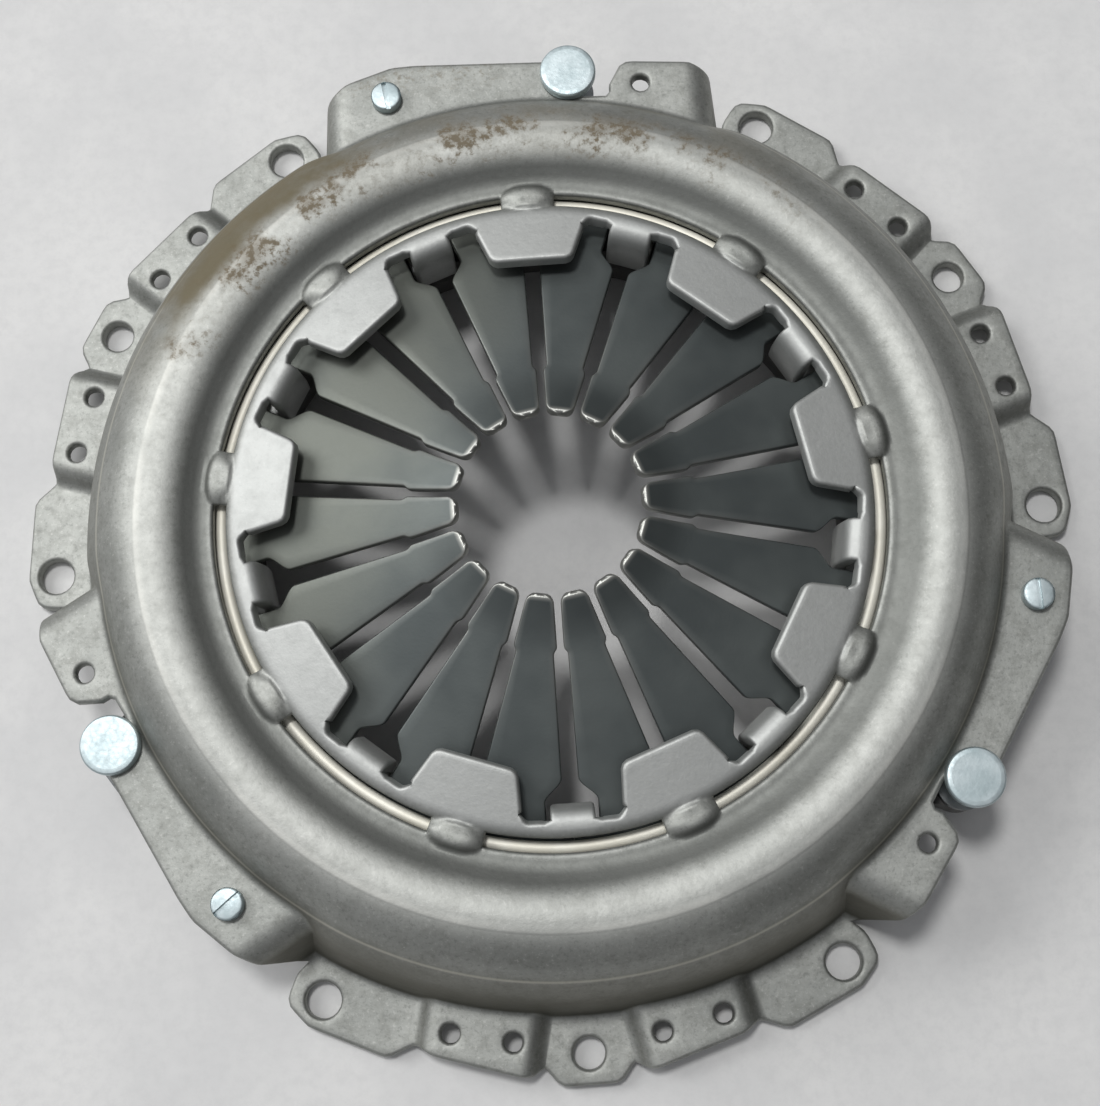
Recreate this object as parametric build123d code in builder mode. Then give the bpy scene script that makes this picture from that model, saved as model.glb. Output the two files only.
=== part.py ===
"""Diaphragm clutch cover assembly for a 225 mm clutch, in its free state.

The origin is the centre of the bolt circle on the underside of the cover's flange, the face that
bolts to the flywheel. +Z points to the release bearing and ear 1 stands at +Y. Millimetres.
"""

from build123d import *
from math import atan2, cos, degrees, radians, sin, tan
import os

os.makedirs("parts", exist_ok=True)

# ---- driving dimensions: pattern ----
ear_count = 3  # raised ears, with a group of three mounting holes between each two
rim_count = 9  # rim tabs, bridges and retaining hooks round the inner rim
finger_count = 18
first_ear_angle = 90.0  # degrees, +Y
ear_step = 360.0 / ear_count
rim_step = 360.0 / rim_count
group_turn = -ear_step / 2  # turns a form on +Y to the first group of mounting holes
hook_turn = rim_step / 2

# ---- cover: one pressed steel sheet ----
sheet = 3.5
flange_thickness = 4.0
flange_reach = 122.5  # radius of the plain flange between the tabs
bolt_circle = 260.0
bolt_hole = 9.0
dowel_hole = 8.0
wall_foot_radius = 119.3  # middle of the sheet, at the flange
shoulder_radius, shoulder_height = 114.1, 28.4
ear_shoulder_radius = 111.2  # the shoulder is set back above each ear
crown_outer_radius, crown_inner_radius, crown_height = 104.0, 93.0, 40.45
valley_outer_radius, valley_inner_radius, valley_height = 86.98, 79.2, 36.05
rim_radius, rim_height = 76.9, 38.35
tab_slope = 11.0  # degrees, rim tabs rise towards the centre
tab_tip_radius = 63.2  # across the flats of the nine tab ends
window_edge, window_half_width = 75.2, 11.9  # spaces between the rim tabs

# ---- ears ----
ear_top = 28.5
ear_half_length = 48.6  # middle of the end wall at the plateau
ear_foot_half_length = 52.6  # middle of the end wall at the flange
ear_sector_angle = 26.5  # half of the angle that an ear takes up on the dome
sector_inner_radius = 97.6  # on the top of the crown
strap_rivet_x, strap_rivet_y = -34.7, 116.0
stop_rivet_x, stop_rivet_y = 13.2, 119.6
ear_hole_x, ear_hole_y, ear_hole = 32.2, 116.0, 4.5

# ---- pads between the mounting holes ----
pad_angle = 12.0  # either side of the middle hole
pad_top = 8.2
pad_half_length, pad_foot_half_length = 11.4, 15.0
pad_hole, pad_hole_radius = 4.8, 127.2
pad_hole_angles = (8.3, 15.4)

# ---- wire fulcrum rings ----
wire = 3.2
ring_radius = 80.9
upper_ring_height = 33.2
slot_inner_radius, slot_outer_radius = 79.6, 82.6
bridge_half_angle = 5.4
bridge_radius, bridge_half, bridge_rise = 81.3, 7.0, 3.2
bridge_base = valley_height + sheet / 2 - 1.4

# ---- diaphragm spring ----
spring_thickness = 2.5
spring_cone = 13.2  # degrees, fingers rise towards the centre
spring_outer_radius = 105.0
fulcrum_radius, fulcrum_height = 80.3, 30.0
tip_radius = 21.9
tip_bend_radius = 31.0  # where the finger ends start to curl up
tip_curl = 12.0  # degrees added at the finger ends
finger_slot, finger_slot_wide = 1.6, 3.4
slot_step_radius = 35.0
sector_gap = 0.2
lower_ring_height = 26.55

# ---- retaining hooks of the cover ----
hook_half_width = 5.25
hook_sheet = 3.2

# ---- pressure plate ----
plate_outer_radius, plate_bore_radius = 112.0, 75.0
friction_face = 3.0
plate_back = 14.0
ridge_radius, ridge_top, ridge_width = 103.0, 23.1, 5.0
lug_bottom, lug_top, lug_end_radius = 6.5, 15.3, 7.0
lug_root, lug_root_half = 106.0, 12.5

# ---- drive straps and rivets ----
leaf = 0.8
leaf_count = 3
strap_width = 14.0
strap_drop = ear_top - sheet - leaf_count * leaf - lug_top  # lug end below the cover end
strap_rivet_head, strap_rivet_head_height, strap_rivet_shank = 7.8, 3.0, 5.6
stop_head, stop_head_height, stop_lift = 14.6, 2.6, 0.15
stop_shoulder, stop_shank = 8.6, 6.6
strap_bend_start, strap_bend_radius = 14.0, 36.0
driver_slot, driver_slot_depth = 1.2, 0.9
rivet_tail, rivet_clearance = 2.0, 0.05


def on_ear(x, y, number):
    """Place of a point of the first ear's own frame, turned to ear `number`."""
    turn = radians(360.0 / ear_count * number)
    return (x * cos(turn) - y * sin(turn), x * sin(turn) + y * cos(turn))


def keep(piece, name):
    """Names a finished piece and writes it."""
    piece.part.label = name
    export_step(piece.part, f"parts/{name}.step")
    print(name, "solids", len(piece.part.solids()), "volume", round(piece.part.volume))


# ================= cover =================
tab_tip_height = rim_height + (rim_radius - tab_tip_radius + 2) * tan(radians(tab_slope))


def dome_section(shoulder, crown_round):
    """Section of the pressing, radius by height, from its flange to the tips of its rim tabs."""
    with BuildSketch() as section:
        with BuildLine():
            FilletPolyline(
                (flange_reach, flange_thickness - sheet / 2),
                (wall_foot_radius, flange_thickness - sheet / 2),
                (shoulder, shoulder_height),
                (crown_outer_radius, crown_height),
                (crown_inner_radius, crown_height),
                (valley_outer_radius, valley_height),
                (valley_inner_radius, valley_height),
                (rim_radius, rim_height),
                (tab_tip_radius - 2, tab_tip_height),
                radius=[3.6, 32.0, crown_round, 13.6, 8.4, 2.4, 3.0],
            )
            offset(amount=sheet / 2, side=Side.BOTH)
        make_face()
    return section.sketch


with BuildPart() as ear_room:  # stretch of the dome that is set back behind one ear
    with BuildSketch(Plane.XZ):
        with Locations((sector_inner_radius, 0)):
            Rectangle(30, 50, align=(Align.MIN, Align.MIN))
    revolve(axis=Axis.Z, revolution_arc=2 * ear_sector_angle)

with BuildPart() as ear_dome:
    with BuildSketch(Plane.XZ):
        add(dome_section(ear_shoulder_radius, 11.2))
        with Locations((sector_inner_radius, 0)):
            Rectangle(30, 50, align=(Align.MIN, Align.MIN), mode=Mode.INTERSECT)
    revolve(axis=Axis.Z, revolution_arc=2 * ear_sector_angle)

with BuildPart() as dome:  # the round of the pressing
    with BuildSketch(Plane.XZ):
        add(dome_section(shoulder_radius, 13.6))
    revolve(axis=Axis.Z)
    with PolarLocations(0, ear_count, start_angle=first_ear_angle - ear_sector_angle):
        add(ear_room.part, mode=Mode.SUBTRACT)
    with PolarLocations(0, ear_count, start_angle=first_ear_angle - ear_sector_angle):
        add(ear_dome.part)

with BuildPart() as tab_group:  # three mounting tabs, centred on +Y
    with BuildSketch() as tab_outline:
        with BuildLine():
            Polyline(
                (0, 112), (10.2, 112), (10.7, 132.8), (7.2, 137.6),
                (-7.2, 137.6), (-10.7, 132.8), (-10.2, 112), (0, 112),
            )
        make_face()
        with BuildLine():
            Polyline(
                (37.5, 111), (43.2, 124.9), (50.3, 127.5), (69.3, 118.6),
                (74.2, 112.8), (71.5, 106.6), (64.5, 96.0), (37.5, 111),
            )
        make_face()
        mirror(about=Plane.YZ)
        rounded = [v for v in tab_outline.vertices() if v.Y > 112.5]
        fillet(rounded, radius=2.2)
        Circle(flange_reach - 1, mode=Mode.SUBTRACT)
    extrude(amount=flange_thickness)

pad_rise = pad_top - flange_thickness
with BuildPart() as pad:  # one raised pad, its ends sloping down to the tabs
    with BuildSketch(Plane.XZ.offset(-116)) as pad_section:
        with BuildLine():
            Polyline(
                (0, pad_rise), (-pad_half_length, pad_rise), (-pad_foot_half_length + 0.2, 0),
                (-pad_foot_half_length - 1.5, 0), (-pad_foot_half_length - 1.5, flange_thickness),
                (-pad_half_length - 1.3, pad_top), (0, pad_top), (0, pad_rise),
            )
        make_face()
        fillet([v for v in pad_section.vertices() if abs(v.X + 12) < 1.6], radius=1.6)
        mirror(about=Plane.YZ)
    extrude(amount=-20)

with BuildPart() as pad_limit:  # outline that trims the pad, in the group's frame
    with BuildSketch():
        with BuildLine():
            Polyline(
                (11.0, 114), (11.0, 132.6), (14.2, 134.7), (17.2, 134.3),
                (37.8, 127.9), (43.2, 124.9), (37.5, 111), (11.0, 114),
            )
        make_face()
    extrude(amount=pad_top)

with BuildPart() as pad_channel:  # hollow under the pad
    with BuildSketch(Plane.XZ.offset(-110)):
        with BuildLine():
            Polyline(
                (-pad_foot_half_length + 0.2, 0), (-pad_half_length, pad_rise),
                (pad_half_length, pad_rise), (pad_foot_half_length - 0.2, 0),
                (pad_foot_half_length - 0.2, -1), (-pad_foot_half_length + 0.2, -1),
                (-pad_foot_half_length + 0.2, 0),
            )
        make_face()
    extrude(amount=-30)

with BuildPart() as ear_strip:  # plateau and end walls of one ear, centred on +Y
    with BuildSketch(Plane.XZ.offset(-92)) as ear_section:
        with BuildLine() as ear_middle:
            FilletPolyline(
                (-ear_foot_half_length - 5, flange_thickness - sheet / 2),
                (-ear_foot_half_length, flange_thickness - sheet / 2),
                (-ear_half_length, ear_top - sheet / 2),
                (ear_half_length, ear_top - sheet / 2),
                (ear_foot_half_length, flange_thickness - sheet / 2),
                (ear_foot_half_length + 5, flange_thickness - sheet / 2),
                radius=[3.5, 5.5, 5.5, 3.5],
            )
            offset(amount=sheet / 2, side=Side.BOTH)
        make_face()
    extrude(amount=-36)

recess = stop_shoulder / 2 + 0.7  # round the shoulder of the stop rivet
recess_x = stop_rivet_x - recess
with BuildPart() as ear_limit:  # plan outline of the ear, open inwards
    with BuildSketch() as ear_outline:
        with BuildLine():
            Polyline(
                (-57.0, 90), (-57.0, 99), (-54.2, 104), (-54.0, 112.5), (-50.6, 118.6),
                (-45.0, 121.6), (-33.0, 125.4), (-27.0, 125.6), (recess_x, 124.0),
                (recess_x, stop_rivet_y),
            )
            ThreePointArc(
                (recess_x, stop_rivet_y),
                (stop_rivet_x - recess * sin(radians(45)), stop_rivet_y - recess * sin(radians(45))),
                (stop_rivet_x, stop_rivet_y - recess),
            )
            Polyline(
                (stop_rivet_x, stop_rivet_y - recess),
                (17.0, 113.4), (24.6, 113.2), (24.8, 118.6), (28.4, 122.7), (45.5, 121.2),
                (51.2, 119.0), (54.0, 111.0), (54.2, 104), (57.0, 99), (57.0, 90), (-57.0, 90),
            )
        make_face()
        outer_corners = [v for v in ear_outline.vertices() if v.Y > 120 and v.X > 20 or v.Y > 118 and v.X < 0]
        fillet(outer_corners, radius=2.4)
        fillet([v for v in ear_outline.vertices() if 113 < v.Y < 113.3], radius=1.8)
    extrude(amount=ear_top + 1)
    ear_core_top = 2 * ear_shoulder_radius - wall_foot_radius  # the line of the wall, on to twice its height
    with Locations((0, 0, shoulder_height)):  # nothing of an ear stands inside the wall
        Cone(wall_foot_radius - sheet / 2, ear_core_top - sheet / 2, 2 * shoulder_height, mode=Mode.SUBTRACT)

with BuildPart() as ear_cavity:  # space under the ear, open to the inside of the dome
    with BuildSketch(Plane.XZ.offset(-88)) as cavity_section:
        with BuildLine():
            Polyline(
                (-ear_foot_half_length + 2, -1),
                (-ear_half_length + 1.9, ear_top - sheet),
                (ear_half_length - 1.9, ear_top - sheet),
                (ear_foot_half_length - 2, -1),
                (-ear_foot_half_length + 2, -1),
            )
        make_face()
        fillet([v for v in cavity_section.vertices() if v.Y > 0], radius=3.6)
    extrude(amount=-45)

with BuildSketch() as rim_window:  # space between two rim tabs, centred on +Y
    with BuildLine():
        Polyline(
            (-window_half_width - 0.4, 56), (-window_half_width, window_edge),
            (window_half_width, window_edge), (window_half_width + 0.4, 56),
            (-window_half_width - 0.4, 56),
        )
    make_face()
    fillet([v for v in rim_window.vertices() if v.Y > 60], radius=1.8)

with BuildPart() as rim_opening:  # centre opening and the nine windows, with rounded tab ends
    with BuildSketch() as rim_outline:
        RegularPolygon(tab_tip_radius, rim_count, major_radius=False, rotation=first_ear_angle + rim_step / 2)
        with PolarLocations(0, rim_count, start_angle=hook_turn):
            add(rim_window.sketch)
        tab_corners = [v for v in rim_outline.vertices() if tab_tip_radius < Vector(v.X, v.Y, 0).length < 67]
        fillet(tab_corners, radius=2.4)
    extrude(amount=50)

with BuildPart() as hook:  # tongue bent down through the spring to hold the lower ring
    with BuildSketch(Plane.YZ.offset(-hook_half_width)):
        with BuildLine():
            FilletPolyline(
                (79.2, 36.0),
                (75.5, 38.3),
                (71.9, 29.0),
                (71.9, lower_ring_height - wire / 2 - hook_sheet / 2),
                (82.2, lower_ring_height - wire / 2 - hook_sheet / 2),
                radius=[3.3, 6.0, 3.6],
            )
            offset(amount=hook_sheet / 2, side=Side.BOTH)
        make_face()
    extrude(amount=2 * hook_half_width)

with BuildPart() as bridge:  # oval bulge that carries the rim across the wire ring
    with BuildSketch(Plane.XZ.offset(-bridge_radius)):
        with BuildLine():
            ThreePointArc((-bridge_half, bridge_base), (0, bridge_base + bridge_rise), (bridge_half, bridge_base))
            Line((bridge_half, bridge_base), (-bridge_half, bridge_base))
        make_face()
    revolve(axis=Axis((0, bridge_radius, bridge_base), (1, 0, 0)))
    with Locations((0, bridge_radius, valley_height)):
        Box(3 * bridge_half, 3 * bridge_rise, sheet, align=(Align.CENTER, Align.CENTER, Align.MAX),
            mode=Mode.SUBTRACT)


with BuildPart() as pad_right:
    add(pad.part, rotation=(0, 0, -pad_angle))
    add(pad_limit.part, mode=Mode.INTERSECT)

pad_left = mirror(pad_right.part, about=Plane.YZ)

with BuildPart() as ear_form:
    add(ear_strip.part)
    add(ear_limit.part, mode=Mode.INTERSECT)

with BuildPart() as hollows:  # everything open to the inside of the pressing
    with PolarLocations(0, ear_count):
        add(ear_cavity.part)
    for side in (-1, 1):
        with PolarLocations(0, ear_count, start_angle=group_turn + side * pad_angle):
            add(pad_channel.part)

with BuildPart() as cover:
    add(dome.part)
    with PolarLocations(0, ear_count, start_angle=group_turn):
        add(tab_group.part)
        add(pad_right.part)
        add(pad_left)
    with PolarLocations(0, ear_count):
        add(ear_form.part)
    add(hollows.part, mode=Mode.SUBTRACT)
    add(rim_opening.part, mode=Mode.SUBTRACT)
    with PolarLocations(0, rim_count):
        add(bridge.part)
    with PolarLocations(0, rim_count, start_angle=hook_turn):
        add(hook.part)
    with BuildSketch(Plane.XY.offset(valley_height - sheet)):  # slots over the wire ring
        with PolarLocations(0, rim_count, start_angle=first_ear_angle + hook_turn):
            SlotArc(
                CenterArc((0, 0), (slot_inner_radius + slot_outer_radius) / 2,
                          -rim_step / 2 + bridge_half_angle, rim_step - 2 * bridge_half_angle),
                slot_outer_radius - slot_inner_radius,
            )
    extrude(amount=2 * sheet, mode=Mode.SUBTRACT)
    with BuildSketch(Plane.XZ):  # groove that the wire ring lies in
        with Locations((ring_radius, upper_ring_height)):
            Circle(wire / 2 + 0.05)
    revolve(axis=Axis.Z, mode=Mode.SUBTRACT)
    with BuildSketch():  # mounting holes, pad holes
        with PolarLocations(bolt_circle / 2, ear_count, start_angle=first_ear_angle + group_turn):
            Circle(dowel_hole / 2)
        with PolarLocations(bolt_circle / 2, 2 * ear_count, start_angle=first_ear_angle + group_turn - 30):
            Circle(bolt_hole / 2)
        for angle in pad_hole_angles:
            for side in (-1, 1):
                with PolarLocations(pad_hole_radius, ear_count,
                                    start_angle=first_ear_angle + group_turn + side * angle):
                    Circle(pad_hole / 2)
    extrude(amount=pad_top, mode=Mode.SUBTRACT)
    with BuildSketch(Plane.XY.offset(ear_top - 2 * sheet)):  # ear holes
        with Locations(*[on_ear(ear_hole_x, ear_hole_y, n) for n in range(ear_count)]):
            Circle(ear_hole / 2)
        with Locations(*[on_ear(strap_rivet_x, strap_rivet_y, n) for n in range(ear_count)]):
            Circle(strap_rivet_shank / 2)
    extrude(amount=3 * sheet, mode=Mode.SUBTRACT)
keep(cover, "clutch_cover")

# ================= wire fulcrum rings =================
for ring_name, height in (("upper_fulcrum_ring", upper_ring_height), ("lower_fulcrum_ring", lower_ring_height)):
    with BuildPart() as fulcrum_ring:
        with BuildSketch(Plane.XZ):
            with Locations((ring_radius, height)):
                Circle(wire / 2)
        revolve(axis=Axis.Z)
    keep(fulcrum_ring, ring_name)

# ================= diaphragm spring, one piece per finger =================
# The section runs from the outer edge up the cone to the curled finger end, centred on +Y.
sector = 360.0 / finger_count
outer_height = fulcrum_height - (spring_outer_radius - fulcrum_radius) * tan(radians(spring_cone))
bend_height = fulcrum_height + (fulcrum_radius - tip_bend_radius) * tan(radians(spring_cone))
tip_rise = (tip_bend_radius - tip_radius) * tan(radians(spring_cone + tip_curl))
edge = spring_thickness / 2

with BuildPart() as spring_ring:
    with BuildSketch(Plane.XZ):
        with BuildLine():
            FilletPolyline(
                (spring_outer_radius - edge, outer_height + edge * tan(radians(spring_cone))),
                (tip_bend_radius, bend_height),
                (tip_radius + edge, bend_height + tip_rise - edge * tan(radians(spring_cone + tip_curl))),
                radius=30,
            )
            offset(amount=edge, side=Side.BOTH)
        make_face()
    revolve(axis=Axis.Z, revolution_arc=sector, mode=Mode.ADD)

half_slot, half_wide = finger_slot / 2, finger_slot_wide / 2
window_half, window_end, window_start = hook_half_width + 1.1, 78.6, 70.0
with BuildPart() as tab_side_slot:  # slot under a rim tab: plain, with a round end
    with BuildSketch() as tab_slot_outline:
        with BuildLine():
            Polyline(
                (0, 15), (half_slot, 15), (half_slot, slot_step_radius - 0.6),
                (half_wide, slot_step_radius + 0.6), (half_wide + 0.4, 72), (0, 72), (0, 15),
            )
        make_face()
        mirror(about=Plane.YZ)
        with Locations((0, 72)):
            Circle(4.0)
        with Locations((0, (spring_outer_radius + 72) / 2 + 1)):
            Rectangle(sector_gap, spring_outer_radius - 72 + 2)
    extrude(amount=60)

with BuildPart() as hook_side_slot:  # slot that opens into the window of a retaining hook
    with BuildSketch() as hook_slot_outline:
        with BuildLine():
            Polyline(
                (0, 15), (half_slot, 15), (half_slot, slot_step_radius - 0.6),
                (half_wide, slot_step_radius + 0.6), (half_wide + 0.7, 64.5),
                (window_half, window_start), (window_half, window_end), (0, window_end), (0, 15),
            )
        make_face()
        mirror(about=Plane.YZ)
        fillet([v for v in hook_slot_outline.vertices() if v.Y > 60 and abs(v.X) > 1], radius=1.6)
        with Locations((0, (spring_outer_radius + window_end) / 2 + 1)):
            Rectangle(sector_gap, spring_outer_radius - window_end + 2)
    extrude(amount=60)

tip_half = tip_radius * tan(radians(sector / 2)) - half_slot
with BuildSketch() as finger_end:  # plan of a rounded finger end
    with BuildLine():
        Polyline(
            (-tip_half, tip_radius), (tip_half, tip_radius), (6.5, tip_radius + 14),
            (-6.5, tip_radius + 14), (-tip_half, tip_radius),
        )
    make_face()
    fillet([v for v in finger_end.vertices() if v.Y < tip_radius + 1], radius=2.4)

with BuildPart() as tip_corners:  # what the rounding takes away
    with BuildSketch():
        with Locations((0, tip_radius)):
            Rectangle(12, 12)
        add(finger_end.sketch, mode=Mode.SUBTRACT)
    extrude(amount=60)

with BuildPart() as finger_form:  # on +Y, tab slot on its +X side, hook slot on its -X side
    add(spring_ring.part, rotation=(0, 0, first_ear_angle - sector / 2))
    add(tab_side_slot.part, rotation=(0, 0, -sector / 2), mode=Mode.SUBTRACT)
    add(hook_side_slot.part, rotation=(0, 0, sector / 2), mode=Mode.SUBTRACT)
    add(tip_corners.part, mode=Mode.SUBTRACT)
finger_mirrored = mirror(finger_form.part, about=Plane.YZ)

for number in range(finger_count):  # anticlockwise from the rim tab on ear 1
    turn = sector / 2 + sector * number
    with BuildPart() as finger:
        add(finger_form.part if number % 2 == 0 else finger_mirrored, rotation=(0, 0, turn))
    keep(finger, f"diaphragm_finger_{number + 1:02d}")

# ================= pressure plate =================
ridge_half = ridge_width / 2
lug_angle = -degrees(atan2(stop_rivet_x, stop_rivet_y))
lug_radius = (stop_rivet_x**2 + stop_rivet_y**2) ** 0.5
with BuildPart() as plate:
    with BuildSketch(Plane.XZ) as plate_section:
        with BuildLine():
            Polyline(
                (plate_bore_radius, friction_face), (plate_outer_radius, friction_face),
                (plate_outer_radius, plate_back - 2), (plate_outer_radius - 2, plate_back),
                (ridge_radius + ridge_half + 1.2, plate_back), (ridge_radius + ridge_half, ridge_top),
                (ridge_radius - ridge_half, ridge_top), (ridge_radius - ridge_half - 1.2, plate_back),
                (plate_bore_radius + 3, plate_back), (plate_bore_radius, plate_back - 3),
                (plate_bore_radius, friction_face),
            )
        make_face()
        fillet([v for v in plate_section.vertices() if v.Y > ridge_top - 0.1], radius=2.2)
        ridge_roots = [v for v in plate_section.vertices()
                       if abs(v.Y - plate_back) < 0.1 and abs(v.X - ridge_radius) < ridge_width]
        fillet(ridge_roots, radius=2.5)
        chamfer([v for v in plate_section.vertices() if v.Y < friction_face + 0.1], length=0.8)
    revolve(axis=Axis.Z)
    with BuildSketch(Plane.XY.offset(lug_bottom)):  # lugs that reach out under the ears
        with PolarLocations(0, ear_count, start_angle=first_ear_angle + lug_angle):
            with Locations((lug_radius, 0)):
                Circle(lug_end_radius)
            Polygon(
                (lug_root, lug_root_half), (lug_radius, lug_end_radius),
                (lug_radius, -lug_end_radius), (lug_root, -lug_root_half), align=None,
            )
    extrude(amount=lug_top - lug_bottom)
    with BuildSketch(Plane.XY.offset(lug_bottom)):
        with PolarLocations(lug_radius, ear_count, start_angle=first_ear_angle + lug_angle):
            Circle(stop_shank / 2 + rivet_clearance)
    extrude(amount=lug_top - lug_bottom, mode=Mode.SUBTRACT)
keep(plate, "pressure_plate")

# ================= drive straps: three packs of three spring-steel leaves =================
strap_run = Vector(stop_rivet_x - strap_rivet_x, stop_rivet_y - strap_rivet_y)
strap_side = Plane(
    origin=(strap_rivet_x, strap_rivet_y, 0), x_dir=strap_run, z_dir=(strap_run.Y, -strap_run.X, 0)
)
strap_plan = Plane(
    origin=((strap_rivet_x + stop_rivet_x) / 2, (strap_rivet_y + stop_rivet_y) / 2, 0),
    x_dir=strap_run, z_dir=(0, 0, 1),
)
strap_end = strap_width / 2 + 1
plateau_underside = ear_top - sheet


def leaf_edge(top):
    """Side view of one face of a leaf, from the cover end down to the lug end."""
    return [
        (-strap_end, top), (strap_bend_start, top), (strap_run.length - strap_bend_start, top - strap_drop),
        (strap_run.length + strap_end, top - strap_drop),
    ]


for level in range(leaf_count):
    top = plateau_underside - leaf * level
    with BuildPart() as leaf_form:
        with BuildSketch(strap_side):
            with BuildLine():
                upper = FilletPolyline(*leaf_edge(top), radius=strap_bend_radius)
                lower = FilletPolyline(*leaf_edge(top - leaf), radius=strap_bend_radius)
                Line(upper @ 0, lower @ 0)
                Line(upper @ 1, lower @ 1)
            make_face()
        extrude(amount=strap_width, both=True)
        with BuildSketch(strap_plan):
            SlotCenterToCenter(strap_run.length, strap_width)
        extrude(amount=ear_top, mode=Mode.INTERSECT)
        with BuildSketch(strap_plan):
            with Locations((-strap_run.length / 2, 0)):
                Circle(strap_rivet_shank / 2)
            with Locations((strap_run.length / 2, 0)):
                Circle(stop_shank / 2 + rivet_clearance)
        extrude(amount=ear_top, mode=Mode.SUBTRACT)
    for ear in range(ear_count):
        with BuildPart() as strap_leaf:
            add(leaf_form.part, rotation=(0, 0, ear_step * ear))
        keep(strap_leaf, f"drive_strap_{ear + 1}_leaf_{level + 1}")

# ================= rivets =================
leaf_stack = leaf * leaf_count
with BuildPart() as strap_rivet_form:  # slotted head above the ear, tail under the strap
    with BuildSketch(Plane.XY.offset(ear_top)):
        with Locations((strap_rivet_x, strap_rivet_y)):
            Circle(strap_rivet_head / 2)
    extrude(amount=strap_rivet_head_height)
    chamfer(strap_rivet_form.faces().sort_by(Axis.Z)[-1].edges(), length=0.4)
    with BuildSketch(Plane.XY.offset(ear_top + strap_rivet_head_height - driver_slot_depth)):
        with Locations((strap_rivet_x, strap_rivet_y)):
            Rectangle(driver_slot, strap_rivet_head)
    extrude(amount=driver_slot_depth, mode=Mode.SUBTRACT)
    with BuildSketch(Plane.XY.offset(plateau_underside - leaf_stack)):
        with Locations((strap_rivet_x, strap_rivet_y)):
            Circle(strap_rivet_shank / 2)
    extrude(amount=sheet + leaf_stack)
    with BuildSketch(Plane.XY.offset(plateau_underside - leaf_stack)):
        with Locations((strap_rivet_x, strap_rivet_y)):
            Circle(strap_rivet_head / 2 + 0.4)
    extrude(amount=-rivet_tail, taper=25)

leaf_top_at_lug = lug_top + leaf_stack
with BuildPart() as stop_rivet_form:  # large head that rests over the ear, shoulder, shank and tail
    with BuildSketch(Plane.XY.offset(ear_top + stop_lift)):
        with Locations((stop_rivet_x, stop_rivet_y)):
            Circle(stop_head / 2)
    extrude(amount=stop_head_height)
    chamfer(stop_rivet_form.faces().sort_by(Axis.Z)[-1].edges(), length=0.5)
    with BuildSketch(Plane.XY.offset(leaf_top_at_lug)):
        with Locations((stop_rivet_x, stop_rivet_y)):
            Circle(stop_shoulder / 2)
    extrude(until=Until.NEXT)
    with BuildSketch(Plane.XY.offset(lug_bottom)):
        with Locations((stop_rivet_x, stop_rivet_y)):
            Circle(stop_shank / 2)
    extrude(amount=leaf_top_at_lug - lug_bottom)
    with BuildSketch(Plane.XY.offset(lug_bottom)):
        with Locations((stop_rivet_x, stop_rivet_y)):
            Circle(stop_shank / 2 + 1.6)
    extrude(amount=-rivet_tail, taper=25)

for ear in range(ear_count):
    with BuildPart() as strap_rivet:
        add(strap_rivet_form.part, rotation=(0, 0, ear_step * ear))
    keep(strap_rivet, f"strap_rivet_{ear + 1}")
    with BuildPart() as stop_rivet:
        add(stop_rivet_form.part, rotation=(0, 0, ear_step * ear))
    keep(stop_rivet, f"stop_rivet_{ear + 1}")
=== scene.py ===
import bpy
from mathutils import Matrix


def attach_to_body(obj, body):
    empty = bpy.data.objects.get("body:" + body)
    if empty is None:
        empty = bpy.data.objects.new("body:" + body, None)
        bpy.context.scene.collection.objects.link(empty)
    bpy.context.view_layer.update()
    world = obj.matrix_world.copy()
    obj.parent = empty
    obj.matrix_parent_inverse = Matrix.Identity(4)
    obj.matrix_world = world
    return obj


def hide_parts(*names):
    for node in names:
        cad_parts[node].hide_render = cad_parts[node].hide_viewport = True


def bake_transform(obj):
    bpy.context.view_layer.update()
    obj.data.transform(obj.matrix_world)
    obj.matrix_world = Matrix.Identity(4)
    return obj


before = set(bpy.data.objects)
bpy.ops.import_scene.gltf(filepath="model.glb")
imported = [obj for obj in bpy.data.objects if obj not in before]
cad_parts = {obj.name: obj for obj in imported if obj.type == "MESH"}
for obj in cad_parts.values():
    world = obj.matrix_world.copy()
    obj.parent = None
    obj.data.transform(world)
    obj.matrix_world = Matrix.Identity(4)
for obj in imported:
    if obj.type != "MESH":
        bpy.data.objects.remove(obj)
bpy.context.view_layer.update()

import math

import bmesh
import bpy
import numpy as np
from mathutils import Matrix, Vector

mm = 0.001
print("stage: frame loaded")


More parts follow.
